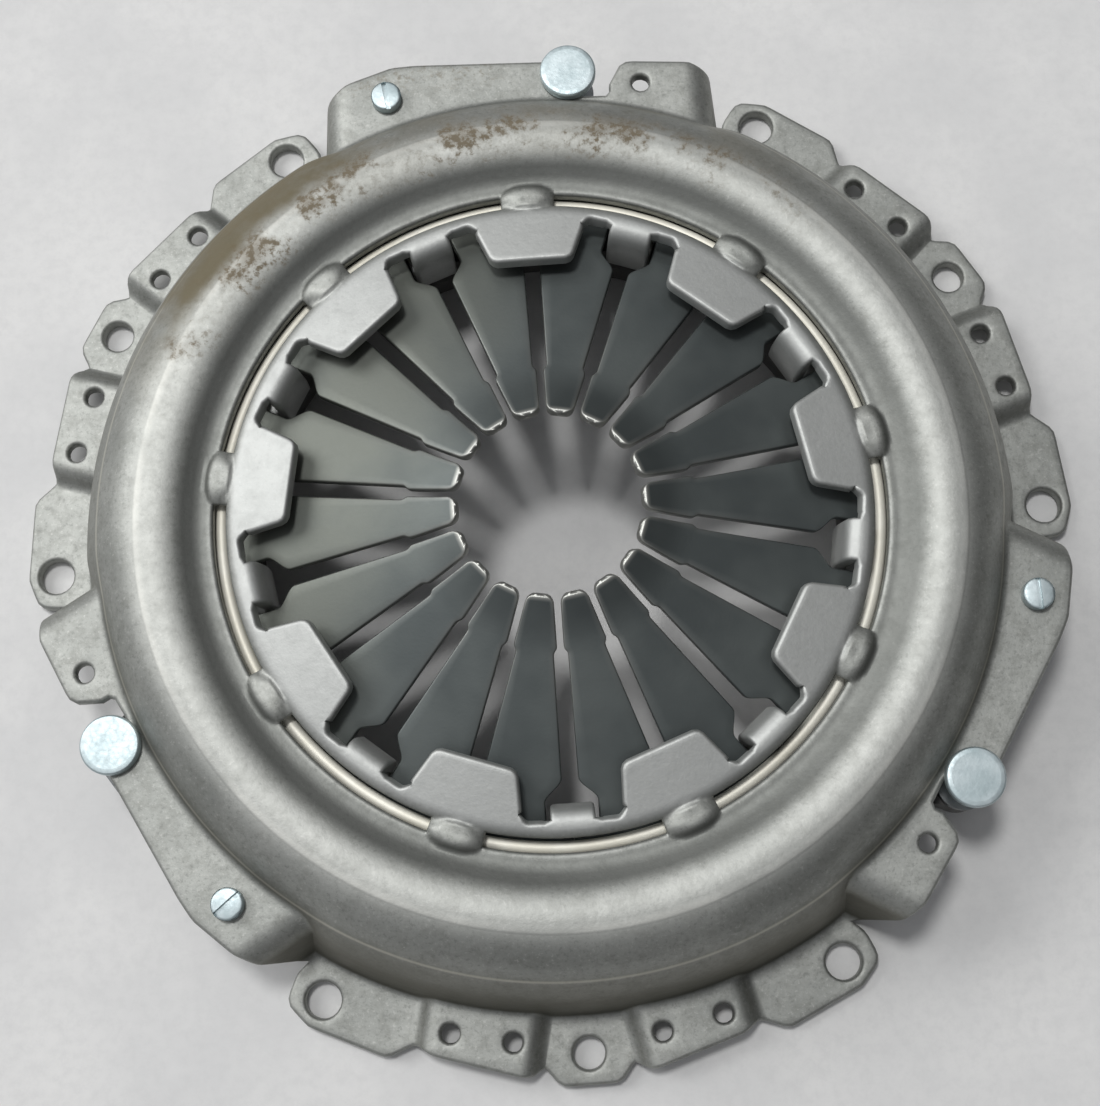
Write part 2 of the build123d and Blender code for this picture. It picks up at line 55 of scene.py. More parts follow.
class Shade:  # a shader socket that can be used in sums; every sum adds a Math node
    def __init__(self, tree, socket=None):
        self.tree = tree
        self.socket = socket

    def node(self, kind, settings=None, sockets=None, out=0):  # gives the new node's output number out
        made = self.tree.nodes.new(kind)
        for name, value in (settings or {}).items():
            setattr(made, name, value)
        for name, value in (sockets or {}).items():
            if isinstance(value, Shade):
                self.tree.links.new(value.socket, made.inputs[name])
            elif value is not None:
                made.inputs[name].default_value = value
        return Shade(self.tree, made.outputs[out] if made.outputs else None)

    def maths(self, operation, *values):
        return self.node("ShaderNodeMath", {"operation": operation}, dict(enumerate(values)))

    def __add__(self, other):
        return self.maths("ADD", self, other)

    def __sub__(self, other):
        return self.maths("SUBTRACT", self, other)

    def __rsub__(self, other):
        return self.maths("SUBTRACT", other, self)

    def __mul__(self, other):
        return self.maths("MULTIPLY", self, other)

    __radd__ = __add__
    __rmul__ = __mul__

    def clip(self, low, high):  # 0 at low, 1 at high, eased between
        return self.node("ShaderNodeMapRange", {"interpolation_type": "SMOOTHSTEP"},
                         {"Value": self, "From Min": low, "From Max": high})

    def mix(self, first, second):  # colour: first where self is 0, second where it is 1
        sockets = {0: self}
        for number, colour in ((6, first), (7, second)):  # the Mix node's two colour sockets
            sockets[number] = colour if isinstance(colour, Shade) else (*colour, 1)
        return self.node("ShaderNodeMix", {"data_type": "RGBA"}, sockets, out=2)


def startMaterial(name):  # a material, its maths helper and its Object coordinates
    material = bpy.data.materials.new(name)
    material.use_nodes = True
    material.node_tree.nodes.clear()
    shade = Shade(material.node_tree)
    return material, shade, shade.node("ShaderNodeTexCoord", out=3)


def noise(shade, place, size, detail, roughness, shift=(0, 0, 0)):  # size of its spots in metres
    moved = shade.node("ShaderNodeMapping", {}, {"Vector": place, "Location": shift})
    return shade.node("ShaderNodeTexNoise", {}, {"Vector": moved, "Scale": 1 / size, "Detail": detail,
                                                 "Roughness": roughness})


def mark(shade, name):  # the number that a mesh carries at each vertex under this name
    return shade.node("ShaderNodeAttribute", {"attribute_name": name}, out=2)


def parts(shade, place):  # the place's distance from the clutch axis, and its x, y, z
    split = shade.node("ShaderNodeSeparateXYZ", {}, {0: place}).socket.node
    x, y, z = (Shade(shade.tree, socket) for socket in split.outputs)
    squared = x * x + y * y
    return squared.maths("SQRT", squared), x, y, z


def finishMaterial(material, shade, colour, roughness, metallic, height, strength, depth):
    bump = shade.node("ShaderNodeBump", {}, {"Strength": strength, "Distance": depth, "Height": height})
    look = shade.node("ShaderNodeBsdfPrincipled", {}, {"Base Color": colour, "Roughness": roughness,
                                                       "Metallic": metallic, "Normal": bump})
    shade.node("ShaderNodeOutputMaterial", {}, {"Surface": look})
    return material


def gridObject(name, points, material, wrapRows=False, wrapColumns=False, marks=None):
    # points is rows x columns x 3 in metres; each cell of the grid becomes a face
    rows, columns = points.shape[:2]
    index = np.arange(rows * columns).reshape(rows, columns)
    if wrapRows:
        index = np.vstack([index, index[:1]])
    if wrapColumns:
        index = np.hstack([index, index[:, :1]])
    faces = np.stack([index[:-1, :-1], index[:-1, 1:], index[1:, 1:], index[1:, :-1]], -1)
    return meshObject(name, points.reshape(-1, 3), faces.reshape(-1, 4), material, marks)


def meshObject(name, vertices, faces, material, marks=None):
    # vertices in metres; those that no face uses are left out, and those in one place are merged
    used, corners = np.unique(faces, return_inverse=True)
    mesh = bpy.data.meshes.new(name)
    mesh.from_pydata(np.asarray(vertices)[used], [], corners.reshape(np.shape(faces)))
    for label, values in (marks or {}).items():  # a number at each vertex that the material reads
        mesh.attributes.new(label, "FLOAT", "POINT").data.foreach_set("value", values.ravel()[used])
    tidy = bmesh.new()
    tidy.from_mesh(mesh)
    bmesh.ops.remove_doubles(tidy, verts=tidy.verts, dist=1e-6)
    tidy.to_mesh(mesh)
    tidy.free()
    mesh.shade_smooth()
    piece = bpy.data.objects.new(name, mesh)
    bpy.context.scene.collection.objects.link(piece)
    mesh.materials.append(material)
    return piece


def ease(v):  # 0 up to 0, 1 from 1 on, and a smooth step between
    v = np.clip(v, 0, 1)
    return v * v * (3 - 2 * v)


def turned(points, degrees):  # points turned about the clutch axis
    c, s = math.cos(math.radians(degrees)), math.sin(math.radians(degrees))
    return points @ np.array([[c, s, 0], [-s, c, 0], [0, 0, 1]])


def rounded(corners, radii, step=0.5):
    # a polyline with a tangent arc in each corner; points on the arcs lie about a step apart
    corners = np.array(corners, float)
    line = [corners[0][None]]
    for before, at, after, radius in zip(corners, corners[1:], corners[2:], radii):
        inward, onward = before - at, after - at
        inward, onward = inward / np.linalg.norm(inward), onward / np.linalg.norm(onward)
        half = math.acos(np.clip(-inward @ onward, -1, 1)) / 2  # of the angle that the line turns by
        reach = radius * math.tan(half)
        middle = at + (inward + onward) / np.linalg.norm(inward + onward) * radius / math.cos(half)
        start, end = at + inward * reach - middle, at + onward * reach - middle
        share = np.linspace(0, 1, max(4, int(radius * half * 2 / step) + 2))[:, None]
        line.append(middle + (np.sin((1 - share) * 2 * half) * start + np.sin(share * 2 * half) * end)
                    / math.sin(2 * half))
    line.append(corners[-1][None])
    return np.vstack(line)


def resample(line, count=None, step=None):  # points evenly spaced along a polyline
    length = np.r_[0, np.cumsum(np.linalg.norm(np.diff(line, axis=0), axis=1))]
    count = count or int(length[-1] / step) + 2
    along = np.linspace(0, length[-1], count)
    return np.stack([np.interp(along, length, line[:, i]) for i in range(line.shape[1])], 1)


def lathe(name, profile, segments, material, centre=(0, 0)):
    # a profile of (radius, height) in mm carried round a vertical axis at centre
    turn = np.linspace(0, 2 * np.pi, segments, endpoint=False)[:, None]
    r, z = profile[:, 0][None], profile[:, 1][None]
    points = np.stack([centre[0] + r * np.cos(turn), centre[1] + r * np.sin(turn), z + 0 * turn], -1)
    return gridObject(name, points * mm, material, wrapRows=True)


def smoothCopy(node, name, material, angle):
    # a copy of a CAD node with its loose triangles merged, shaded smooth where faces meet under angle
    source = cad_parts[node].data
    count = len(source.vertices)
    vertices = np.empty(count * 3, np.float32)
    source.vertices.foreach_get("co", vertices)
    corners = np.empty(len(source.loops), np.int32)
    source.loops.foreach_get("vertex_index", corners)
    piece = meshObject(name, vertices.reshape(-1, 3), corners.reshape(-1, 3), material)
    piece.data.set_sharp_from_angle(angle=math.radians(angle))
    weighted = piece.modifiers.new("flat faces stay flat", "WEIGHTED_NORMAL")
    weighted.keep_sharp = True
    return piece


def attach(piece, body, node):  # the piece stands for the node and moves with the body
    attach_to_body(piece, body)
    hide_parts(node)


def coverSteel():
    material, shade, place = startMaterial("coverSteel")
    radius, x, y, z = parts(shade, place)
    cloud = noise(shade, place, 0.035, 4, 0.6)
    grain = noise(shade, place, 0.0011, 3, 0.75)
    fine = noise(shade, place, 0.0042, 5, 0.7, shift=(0.3, 0.1, 0))
    body = cloud.clip(0.32, 0.68).mix((0.285, 0.293, 0.275), (0.365, 0.372, 0.350))
    body = (fine.clip(0.42, 0.72) * 0.55).mix(body, (0.225, 0.230, 0.210))
    body = (grain.clip(0.56, 0.72) * 0.45).mix(body, (0.50, 0.50, 0.475))
    body = (grain.clip(0.48, 0.30) * 0.45).mix(body, (0.16, 0.165, 0.155))
    tabs = 1 - radius.clip(0.0765, 0.0795)
    body = (tabs * 0.6).mix(body, (0.50, 0.51, 0.50))
    # painted shade in the hollow between the rim and the crown
    valleyShade = radius.clip(0.0825, 0.0845) * (1 - radius.clip(0.0890, 0.0925))
    body = (valleyShade * 0.75).mix(body, (0.14, 0.145, 0.135))
    # painted highlight: a lighter band over the crown
    crownHighlightBand = radius.clip(0.0905, 0.0940) * (1 - radius.clip(0.0995, 0.1050))
    body = (crownHighlightBand * 0.4).mix(body, (0.50, 0.505, 0.48))
    # painted shade on the steep dome wall, olive and deepest on the −Y side
    wall = mark(shade, "steep") * radius.clip(0.109, 0.112)
    body = (wall * (0.85 - y.clip(-0.08, 0.03) * 0.5)).mix(body, (0.118, 0.112, 0.086))
    # a line left by the die round the shoulder, and a painted highlight line where the crown begins
    line = radius.clip(0.1113, 0.1118) * (1 - radius.clip(0.1118, 0.1123)) * z.clip(0.029, 0.031)
    crown = radius.clip(0.0985, 0.1005) * (1 - radius.clip(0.1005, 0.1012)) * z.clip(0.035, 0.037)
    crownHighlightLine = cloud.clip(0.3, 0.6) * crown
    body = (line * 0.5).mix(body, (0.60, 0.58, 0.50))
    body = (crownHighlightLine * 0.5).mix(body, (0.62, 0.62, 0.58))
    # an olive bloom over the far shoulder, deepest to the left of the first ear
    bloomX, bloomY = x + 0.070, y - 0.078
    bloom = 1 - (bloomX * bloomX + bloomY * bloomY).clip(0.00002, 0.0016)
    far = (y - x * 0.25).clip(0.030, 0.098)
    patch = noise(shade, place, 0.024, 4, 0.6, shift=(0.05, 0.21, 0)).clip(0.36, 0.62)
    shoulder = radius.clip(0.099, 0.106) * z.clip(0.0288, 0.0305)
    ring = radius.clip(0.0895, 0.0925) * (1 - radius.clip(0.0985, 0.106))
    olive = shoulder * (bloom * 1.05 + far * patch * 0.6) + ring * far * patch * 0.3
    # soft rust clouds with specks in them on the crown, and a scatter on the first ear's left half
    spots = noise(shade, place, 0.0019, 5, 0.72, shift=(0.5, 0.2, 0)).clip(0.44, 0.68)
    cluster = noise(shade, place, 0.012, 3, 0.55, shift=(0.1, 0.4, 0)).clip(0.45, 0.64)
    outer = radius.clip(0.0930, 0.0985) * (1 - radius.clip(0.1010, 0.107))
    edge = y.clip(0.1145, 0.1215) * (1 - x.clip(-0.012, 0.006)) * x.clip(-0.056, -0.042)
    specks = (ring * far * (0.16 + cluster * 0.6) + olive * 0.25 + edge * 0.4) * spots
    rust = specks + outer * far * cluster * 0.4
    body = (olive.clip(0.0, 1.3) * 0.95).mix(body, (0.150, 0.128, 0.078))
    colour = (rust.clip(0.0, 0.75) * 0.85).mix(body, (0.142, 0.108, 0.060))
    stained = (rust + olive * 0.6).clip(0.0, 1.2)
    rough = 0.46 + fine * 0.14 + stained * 0.22 + cloud * 0.06
    height = grain * 0.6 + fine * 0.9 + crown * 0.8 + line * 0.8
    return finishMaterial(material, shade, colour, rough, 0.85 - stained * 0.5, height, 0.45, 0.00014)


def fingerSteel():
    material, shade, place = startMaterial("fingerSteel")
    x, y = parts(shade, place)[1:3]
    cloud = noise(shade, place, 0.03, 3, 0.6)
    grain = noise(shade, place, 0.0009, 3, 0.7)
    body = cloud.clip(0.3, 0.7).mix((0.074, 0.085, 0.085), (0.108, 0.121, 0.118))
    # painted light: the fingers are lighter towards −X and +Y, the side the window lamp stands on
    lampSideLight = (x * -1.0 + y * 0.45).clip(0.0, 0.062) * (0.35 + cloud * 0.9)
    body = lampSideLight.clip(0.15, 0.95).mix(body, (0.126, 0.134, 0.118))
    wearAndSheen = mark(shade, "wearAndSheen")  # 1 along the tip's edge: bare wear at the tip, and a painted highlight along the edges
    colour = (wearAndSheen * (0.55 + cloud * 0.4)).mix(body, (0.42, 0.42, 0.39))
    rough = 0.42 + grain * 0.12 - wearAndSheen * 0.08
    return finishMaterial(material, shade, colour, rough, 0.75, grain + cloud * 0.5, 0.25, 0.00008)


def plateIron():
    material, shade, place = startMaterial("plateIron")
    radius, x, y, z = parts(shade, place)
    grain = noise(shade, place, 0.0016, 5, 0.7)
    cloud = noise(shade, place, 0.03, 3, 0.6)
    cast = cloud.mix((0.09, 0.09, 0.088), (0.15, 0.147, 0.14))
    ground = (1 - z.clip(0.0031, 0.0036)) * radius.clip(0.0745, 0.0755)
    turning = noise(shade, radius, 0.0006, 2, 0.5)
    colour = ground.mix(cast, turning.clip(0.3, 0.7).mix((0.36, 0.36, 0.355), (0.46, 0.46, 0.45)))
    rough = 0.62 - ground * 0.3 + grain * 0.1
    height = grain * (1 - ground) + turning * ground * 0.3
    return finishMaterial(material, shade, colour, rough, 0.55 + ground * 0.35, height, 0.5, 0.0003)


def wireSteel():
    material, shade, place = startMaterial("wireSteel")
    cloud = noise(shade, place, 0.02, 4, 0.6)
    grain = noise(shade, place, 0.0006, 3, 0.6)
    # a near-white colour that paints the highlight on the wire's top, which sits in the shaded slot
    colour = cloud.clip(0.3, 0.7).mix((0.80, 0.77, 0.66), (0.93, 0.91, 0.82))
    return finishMaterial(material, shade, colour, 0.50 + grain * 0.14, 0.35, grain, 0.2, 0.00005)


def strapSteel():
    material, shade, place = startMaterial("strapSteel")
    rolled = noise(shade, place, 0.004, 4, 0.6)
    grain = noise(shade, place, 0.0008, 3, 0.6)
    colour = rolled.clip(0.3, 0.7).mix((0.23, 0.245, 0.25), (0.34, 0.35, 0.35))
    return finishMaterial(material, shade, colour, 0.34 + grain * 0.16, 0.85, grain, 0.2, 0.00006)


def zincPlate():
    material, shade, place = startMaterial("zincPlate")
    cloud = noise(shade, place, 0.006, 4, 0.6)
    grain = noise(shade, place, 0.0007, 4, 0.7)
    flakes = shade.node("ShaderNodeTexVoronoi", {}, {"Vector": place, "Scale": 900.0}, out=0)
    colour = cloud.clip(0.3, 0.7).mix((0.39, 0.465, 0.48), (0.53, 0.60, 0.615))
    colour = (grain.clip(0.55, 0.75) * 0.4).mix(colour, (0.33, 0.41, 0.43))
    rough = 0.34 + flakes * 0.18 + grain * 0.1
    return finishMaterial(material, shade, colour, rough, 0.8, grain + flakes * 0.4, 0.3, 0.00008)


def palePaper():
    material, shade, place = startMaterial("palePaper")
    cloud = noise(shade, place, 0.05, 4, 0.6)
    fibre = noise(shade, place, 0.0035, 4, 0.7)
    colour = cloud.clip(0.3, 0.7).mix((0.62, 0.62, 0.615), (0.70, 0.697, 0.685))
    colour = (fibre.clip(0.35, 0.75) * 0.5).mix(colour, (0.58, 0.58, 0.575))
    return finishMaterial(material, shade, colour, 0.9, 0.0, fibre, 0.15, 0.0002)


looks = {"cover": coverSteel(), "finger": fingerSteel(), "plate": plateIron(), "wire": wireSteel(),
         "strap": strapSteel(), "zinc": zincPlate()}
print("stage: materials made")

# the diaphragm spring's fingers, in mm and degrees
finger = {
    "count": 18, "thickness": 2.5, "tip": 21.9, "outer": 105.0, "hinge": (80.3, 30.0), "cone": 13.2,
    "curl": 11.4, "curlStart": 31.0, "curlEase": 2.0, "tipRound": 2.6, "edgeRound": 0.45,
    "slot": 0.8, "wideSlot": 1.7, "slotStep": 35.0, "stepEase": 0.28, "gap": 0.1,
    "taper": (36.0, 72.0), "taperWidth": 0.35, "keyhole": 4.0, "keyholeAt": 72.0,
    "hookWindow": 6.35, "hookWindowFrom": 64.5, "hookWindowGrowth": 5.5, "hookWindowTo": 77.2,
    "hookWindowRound": 1.4, "endRounds": (1.1, 0.7),
    "bands": (33.6, 36.4, 64.0, 80.0), "bandRows": (9, 10, 12, 16, 36, 12),  # closest where the outline turns
    "wearAndSheenFrom": (2.5, 5.0, 16.1, 38.1), "wearAndSheen": (1, 0.5, 0.4, 0),  # distances from the tip, and how light: bare wear at the tip, a painted edge highlight further back
}


def fingerHeight(r):  # the cone of the spring, eased up to the steeper slope of the finger ends
    slope, steep = (math.tan(math.radians(a)) for a in (finger["cone"], finger["cone"] + finger["curl"]))
    hingeRadius, hingeHeight = finger["hinge"]
    eased = finger["curlEase"] * np.logaddexp(0, (finger["curlStart"] - r) / finger["curlEase"])
    return hingeHeight + (hingeRadius - r) * slope + eased * (steep - slope)


def fingerSide(along, hookSide):
    # distance from the line between two fingers to the edge: slot, step, then hook window or keyhole
    past = 1 / (1 + np.exp((finger["slotStep"] - along) / finger["stepEase"]))
    wide = finger["slot"] + (finger["wideSlot"] - finger["slot"]) * past
    wide = wide + np.interp(along, finger["taper"], (0, finger["taperWidth"]))
    if hookSide:
        grow = ease((along - finger["hookWindowFrom"]) / finger["hookWindowGrowth"])
        wide = wide + (finger["hookWindow"] - wide) * grow
        closing = (along - finger["hookWindowTo"]) / finger["hookWindowRound"]
        edge = wide * np.sqrt(1 - np.clip(closing, 0, 1) ** 2) + finger["gap"]
        return np.where(closing < 0, wide, edge)
    hole = np.sqrt(np.clip(finger["keyhole"] ** 2 - (along - finger["keyholeAt"]) ** 2, 0, None))
    return np.maximum(hole, np.where(along < finger["keyholeAt"], wide, finger["gap"]))


def fingerObject(number):
    # a rounded slab: rows run from the tip to the outer edge, columns round the section
    tip, outer, half, tipRound = finger["tip"], finger["outer"], finger["thickness"] / 2, finger["tipRound"]
    stops = (tip, tip + tipRound, *finger["bands"], outer)
    bands = [np.linspace(*band)[:-1] for band in zip(stops, stops[1:], finger["bandRows"])]
    along = np.r_[np.concatenate(bands), outer]
    pitch = 360 / finger["count"]
    lineAngle = math.radians(pitch / 2)
    sides = []
    for hookSide in (True, False):
        fromTip = np.clip(along - tip, 0, tipRound)
        off = fingerSide(along, hookSide) + tipRound - np.sqrt(tipRound**2 - (tipRound - fromTip) ** 2)
        sides.append(np.stack([along * math.sin(lineAngle) - off * math.cos(lineAngle),
                               along * math.cos(lineAngle) + off * math.sin(lineAngle)], -1))
    left, right = sides[0] * np.array([-1, 1]), sides[1]
    width = np.linalg.norm(right - left, axis=1)[:, None]
    quarter = np.linspace(0, np.pi / 2, 4)
    inset = finger["edgeRound"] * (1 - np.cos(quarter)) / width
    drop = finger["edgeRound"] * (1 - np.sin(quarter))
    flat = np.broadcast_to(np.linspace(0, 1, 7)[1:-1], (len(along), 5))
    across = np.hstack([inset, flat, 1 - inset[:, ::-1]])[..., None]  # 0 at the left edge, 1 at the right
    level = np.r_[drop, np.zeros(5), drop[::-1]]
    endFade = np.clip((along - tip) / finger["endRounds"][0], 0, 1)  # both ends are rounded over
    outFade = np.clip((outer - along) / finger["endRounds"][1], 0, 1)
    thick = half * np.sqrt(1 - (1 - endFade) ** 2) * np.sqrt(1 - (1 - outFade) ** 2)
    lift = np.maximum(thick, 0.02)[:, None] * (1 - level[None] / half)
    xy = left[:, None] * (1 - across) + right[:, None] * across
    r = np.hypot(xy[..., 0], xy[..., 1])
    lean = np.arctan((fingerHeight(r + 0.05) - fingerHeight(r - 0.05)) / 0.1)
    faces = []
    for side in (1, -1):
        shift = -np.sin(lean) * lift * side
        faces.append(np.concatenate([xy * (1 + shift / r)[..., None],
                                     (fingerHeight(r) + np.cos(lean) * lift * side)[..., None]], -1))
    loop = np.concatenate([faces[0], faces[1][:, ::-1]], axis=1)
    if number % 2 == 1:  # every other finger is mirrored
        loop = loop[:, ::-1] * np.array([-1, 1, 1])
    ends = loop[[0, -1]].mean(1, keepdims=True).repeat(loop.shape[1], 1)
    loop = np.concatenate([ends[:1], loop, ends[1:]])
    points = turned(loop, pitch / 2 + pitch * number) * mm
    fromTip = np.r_[along[0], along, along[-1]][:, None] - tip
    onEdge = np.array([1, 1, 1, 0.4, 0, 0, 0, 0, 0, 0.4, 1, 1, 1] * 2)[None]
    wearAndSheen = onEdge * np.interp(fromTip, finger["wearAndSheenFrom"], finger["wearAndSheen"])  # the painted edge highlight, fainter back along the slots
    wearAndSheen = np.maximum(wearAndSheen, np.interp(fromTip, [0.9, 1.9], [1, 0]))  # and bare right across the tip
    return gridObject(f"springFinger{number + 1:02d}", points[:, ::-1], looks["finger"], wrapColumns=True,
                      marks={"wearAndSheen": wearAndSheen[:, ::-1]})


for number in range(finger["count"]):
    label = f"finger_{number + 1:02d}"
    attach(fingerObject(number), label, f"diaphragm_{label}")
print("stage: fingers made")

# the wire rings that the spring tilts on, in mm
ring = {"wire": 3.2, "radius": 80.9, "upper": 33.2, "lower": 26.55, "around": 24, "segments": 240}
for side in ("upper", "lower"):
    turn = np.linspace(0, 2 * np.pi, ring["around"], endpoint=False)
    circle = np.stack([ring["radius"] + ring["wire"] / 2 * np.cos(turn),
                       ring[side] + ring["wire"] / 2 * np.sin(turn)], 1)
    tube = lathe(f"{side}WireRing", np.vstack([circle, circle[:1]]), ring["segments"], looks["wire"])
    attach(tube, "cover", f"{side}_fulcrum_ring")
print("stage: rings made")

# rivets, in mm, in the first ear's own frame
strapRivet = {"x": -34.7, "y": 116.0, "head": 3.9, "height": 3.0, "shank": 2.8, "seat": 28.5, "tail": 4.3,
              "tailTop": 22.6, "tailHeight": 2.0, "taper": 0.9, "round": 0.45, "crown": 0.25,
              "slot": 1.2, "slotDepth": 0.9, "slotTurns": (8, 8, -60), "segments": 48,
              "tailRounds": [0.3, 0.1, 0.1, 0.3, 0.5]}
stopRivet = {"x": 13.2, "y": 119.6, "head": 7.3, "height": 2.6, "seat": 28.65, "shoulder": 4.3, "shank": 3.3,
             "strapTop": 17.7, "lugBottom": 6.5, "tail": 4.9, "tailHeight": 2.0, "taper": 0.9,
             "flat": 5.9, "chamfer": (0.35, 0.6), "segments": 64,
             "rounds": [0.8, 0.4, 0.4, 0.4, 0.3, 0.2, 0.2, 0.2, 0.2, 0.3]}
earTurn = 120  # degrees from one ear to the next


def earPoint(x, y, ear):
    return turned(np.array([[x, y, 0.0]]), earTurn * ear)[0, :2]


def stopRivetObject(ear):
    # a lathe: flat head with a chamfer, shoulder, shank and clenched tail, from the top down
    s = stopRivet
    top, tailEnd = s["seat"] + s["height"], s["lugBottom"] - s["tailHeight"]
    outline = [(0, top), (s["flat"], top - 0.03), (s["head"] - s["chamfer"][0], top - 0.12),
               (s["head"], top - s["chamfer"][1]), (s["head"], s["seat"]), (s["shoulder"], s["seat"]),
               (s["shoulder"], s["strapTop"]), (s["shank"], s["strapTop"]), (s["shank"], s["lugBottom"]),
               (s["tail"], s["lugBottom"]), (s["tail"] - s["taper"], tailEnd), (0, tailEnd)]
    line = rounded(outline, s["rounds"], 0.15)[::-1]
    return lathe(f"stopRivet{ear + 1}", line, s["segments"], looks["zinc"], earPoint(s["x"], s["y"], ear))


def strapRivetObject(ear):
    # the head is a disc of rows beside the screwdriver slot, lowered over it; the rest is a lathe
    s = strapRivet
    top, tailEnd, slotHalf = s["seat"] + s["height"], s["tailTop"] - s["tailHeight"], s["slot"] / 2
    beside = np.linspace(slotHalf, s["head"], 9)
    across = np.r_[-beside[::-1], [0.02 - slotHalf, 0, slotHalf - 0.02], beside]
    share = np.sin(np.linspace(-np.pi / 2, np.pi / 2, 25))
    x, y = np.meshgrid(across, share, indexing="ij")
    y = y * np.sqrt(np.clip(s["head"] ** 2 - x**2, 0, None))
    inside = s["head"] - np.hypot(x, y)
    edge = np.clip(inside / s["round"], 0, 1)
    z = top - s["round"] * (1 - np.sqrt(1 - (1 - edge) ** 2)) - s["crown"] * (x**2 + y**2) / s["head"] ** 2
    z = z - s["slotDepth"] * (np.abs(x) < slotHalf - 0.01) * np.clip(inside / 0.1, 0.55, 1)
    cap = np.stack([x, y, z], -1)
    centre = earPoint(s["x"], s["y"], ear)
    cap = turned(cap.reshape(-1, 3), s["slotTurns"][ear] + earTurn * ear).reshape(cap.shape)
    cap[..., :2] += centre
    head = gridObject(f"strapRivet{ear + 1}", cap * mm, looks["zinc"])
    outline = [(s["head"], top - s["round"]), (s["head"], s["seat"]), (s["shank"], s["seat"]),
               (s["shank"], s["tailTop"]), (s["tail"], s["tailTop"]), (s["tail"] - s["taper"], tailEnd),
               (0, tailEnd)]
    line = rounded(outline, s["tailRounds"], 0.15)[::-1]
    shank = lathe("shank", line, s["segments"], looks["zinc"], centre)
    both = bmesh.new()
    both.from_mesh(head.data)
    both.from_mesh(shank.data)
    bmesh.ops.remove_doubles(both, verts=both.verts, dist=2e-5)
    both.to_mesh(head.data)
    both.free()
    bpy.data.objects.remove(shank)
    head.data.set_sharp_from_angle(angle=math.radians(50))
    return head


for ear in range(3):
    attach(stopRivetObject(ear), "plate", f"stop_rivet_{ear + 1}")
    attach(strapRivetObject(ear), "cover", f"strap_rivet_{ear + 1}")
print("stage: rivets made")

# drive straps, in mm: three leaves under each ear
strap = {"leaves": 3, "leaf": 0.8, "gap": 0.02, "width": 14.0, "top": 25.0, "drop": 7.3, "bend": 14.0,
         "round": 36.0, "bevel": 0.12, "blendFrom": 5.0}


def strapObject(ear, level):
    # a flat strip with round ends: rows along its length, columns round its section
    start = np.array([strapRivet["x"], strapRivet["y"]])
    end = np.array([stopRivet["x"], stopRivet["y"]])
    run = np.linalg.norm(end - start)
    onward = (end - start) / run
    aside = np.array([-onward[1], onward[0]])
    half = strap["width"] / 2
    top = strap["top"] - strap["leaf"] * level
    line = rounded([(-half, top), (strap["bend"], top), (run - strap["bend"], top - strap["drop"]),
                    (run + half, top - strap["drop"])], [strap["round"]] * 2, 1.0)
    s = np.concatenate([-half * np.cos(np.linspace(0, np.pi / 2, 12)), np.linspace(0, run, 40)[1:-1],
                        run + half * np.sin(np.linspace(0, np.pi / 2, 12))])
    z = np.interp(s, line[:, 0], line[:, 1])
    past = np.maximum(np.maximum(-s, s - run), 0)
    wide = np.sqrt(np.clip(half**2 - past**2, 1e-4, None))
    across = np.r_[-1, -0.98, np.linspace(-0.9, 0.9, 7), 0.98, 1]
    bevel = strap["bevel"] * (np.abs(across) == 1)
    thick = strap["leaf"] - strap["gap"]
    upper = np.stack([s[:, None] + 0 * across, wide[:, None] * across, z[:, None] - bevel], -1)
    lower = np.stack([s[:, None] + 0 * across, wide[:, None] * across, z[:, None] - thick + bevel], -1)
    loop = np.concatenate([upper, lower[:, ::-1]], 1)
    flat = loop[..., 0:1] * onward + loop[..., 1:2] * aside + start
    points = np.concatenate([flat, loop[..., 2:]], -1)
    points = turned(points.reshape(-1, 3), earTurn * ear).reshape(points.shape)
    ends = points[[0, -1]].mean(1, keepdims=True).repeat(points.shape[1], 1)
    points = np.concatenate([ends[:1], points, ends[1:]])
    leafName = f"strapLeaf{ear + 1}{'abc'[level]}"
    piece = gridObject(leafName, points[:, ::-1] * mm, looks["strap"], wrapColumns=True)
    piece.data.set_sharp_from_angle(angle=math.radians(35))
    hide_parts(f"drive_strap_{ear + 1}_leaf_{level + 1}")
    bendFrom, bendTo = ((*earPoint(*point, ear) * mm, top * mm) for point in
                        (start + onward * strap["blendFrom"], end - onward * strap["blendFrom"]))
    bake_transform(piece)


for ear in range(3):
    for level in range(strap["leaves"]):
        strapObject(ear, level)
print("stage: straps made")

plate = smoothCopy("pressure_plate", "pressurePlate", looks["plate"], angle=28)
attach(plate, "plate", "pressure_plate")
print("stage: plate made")

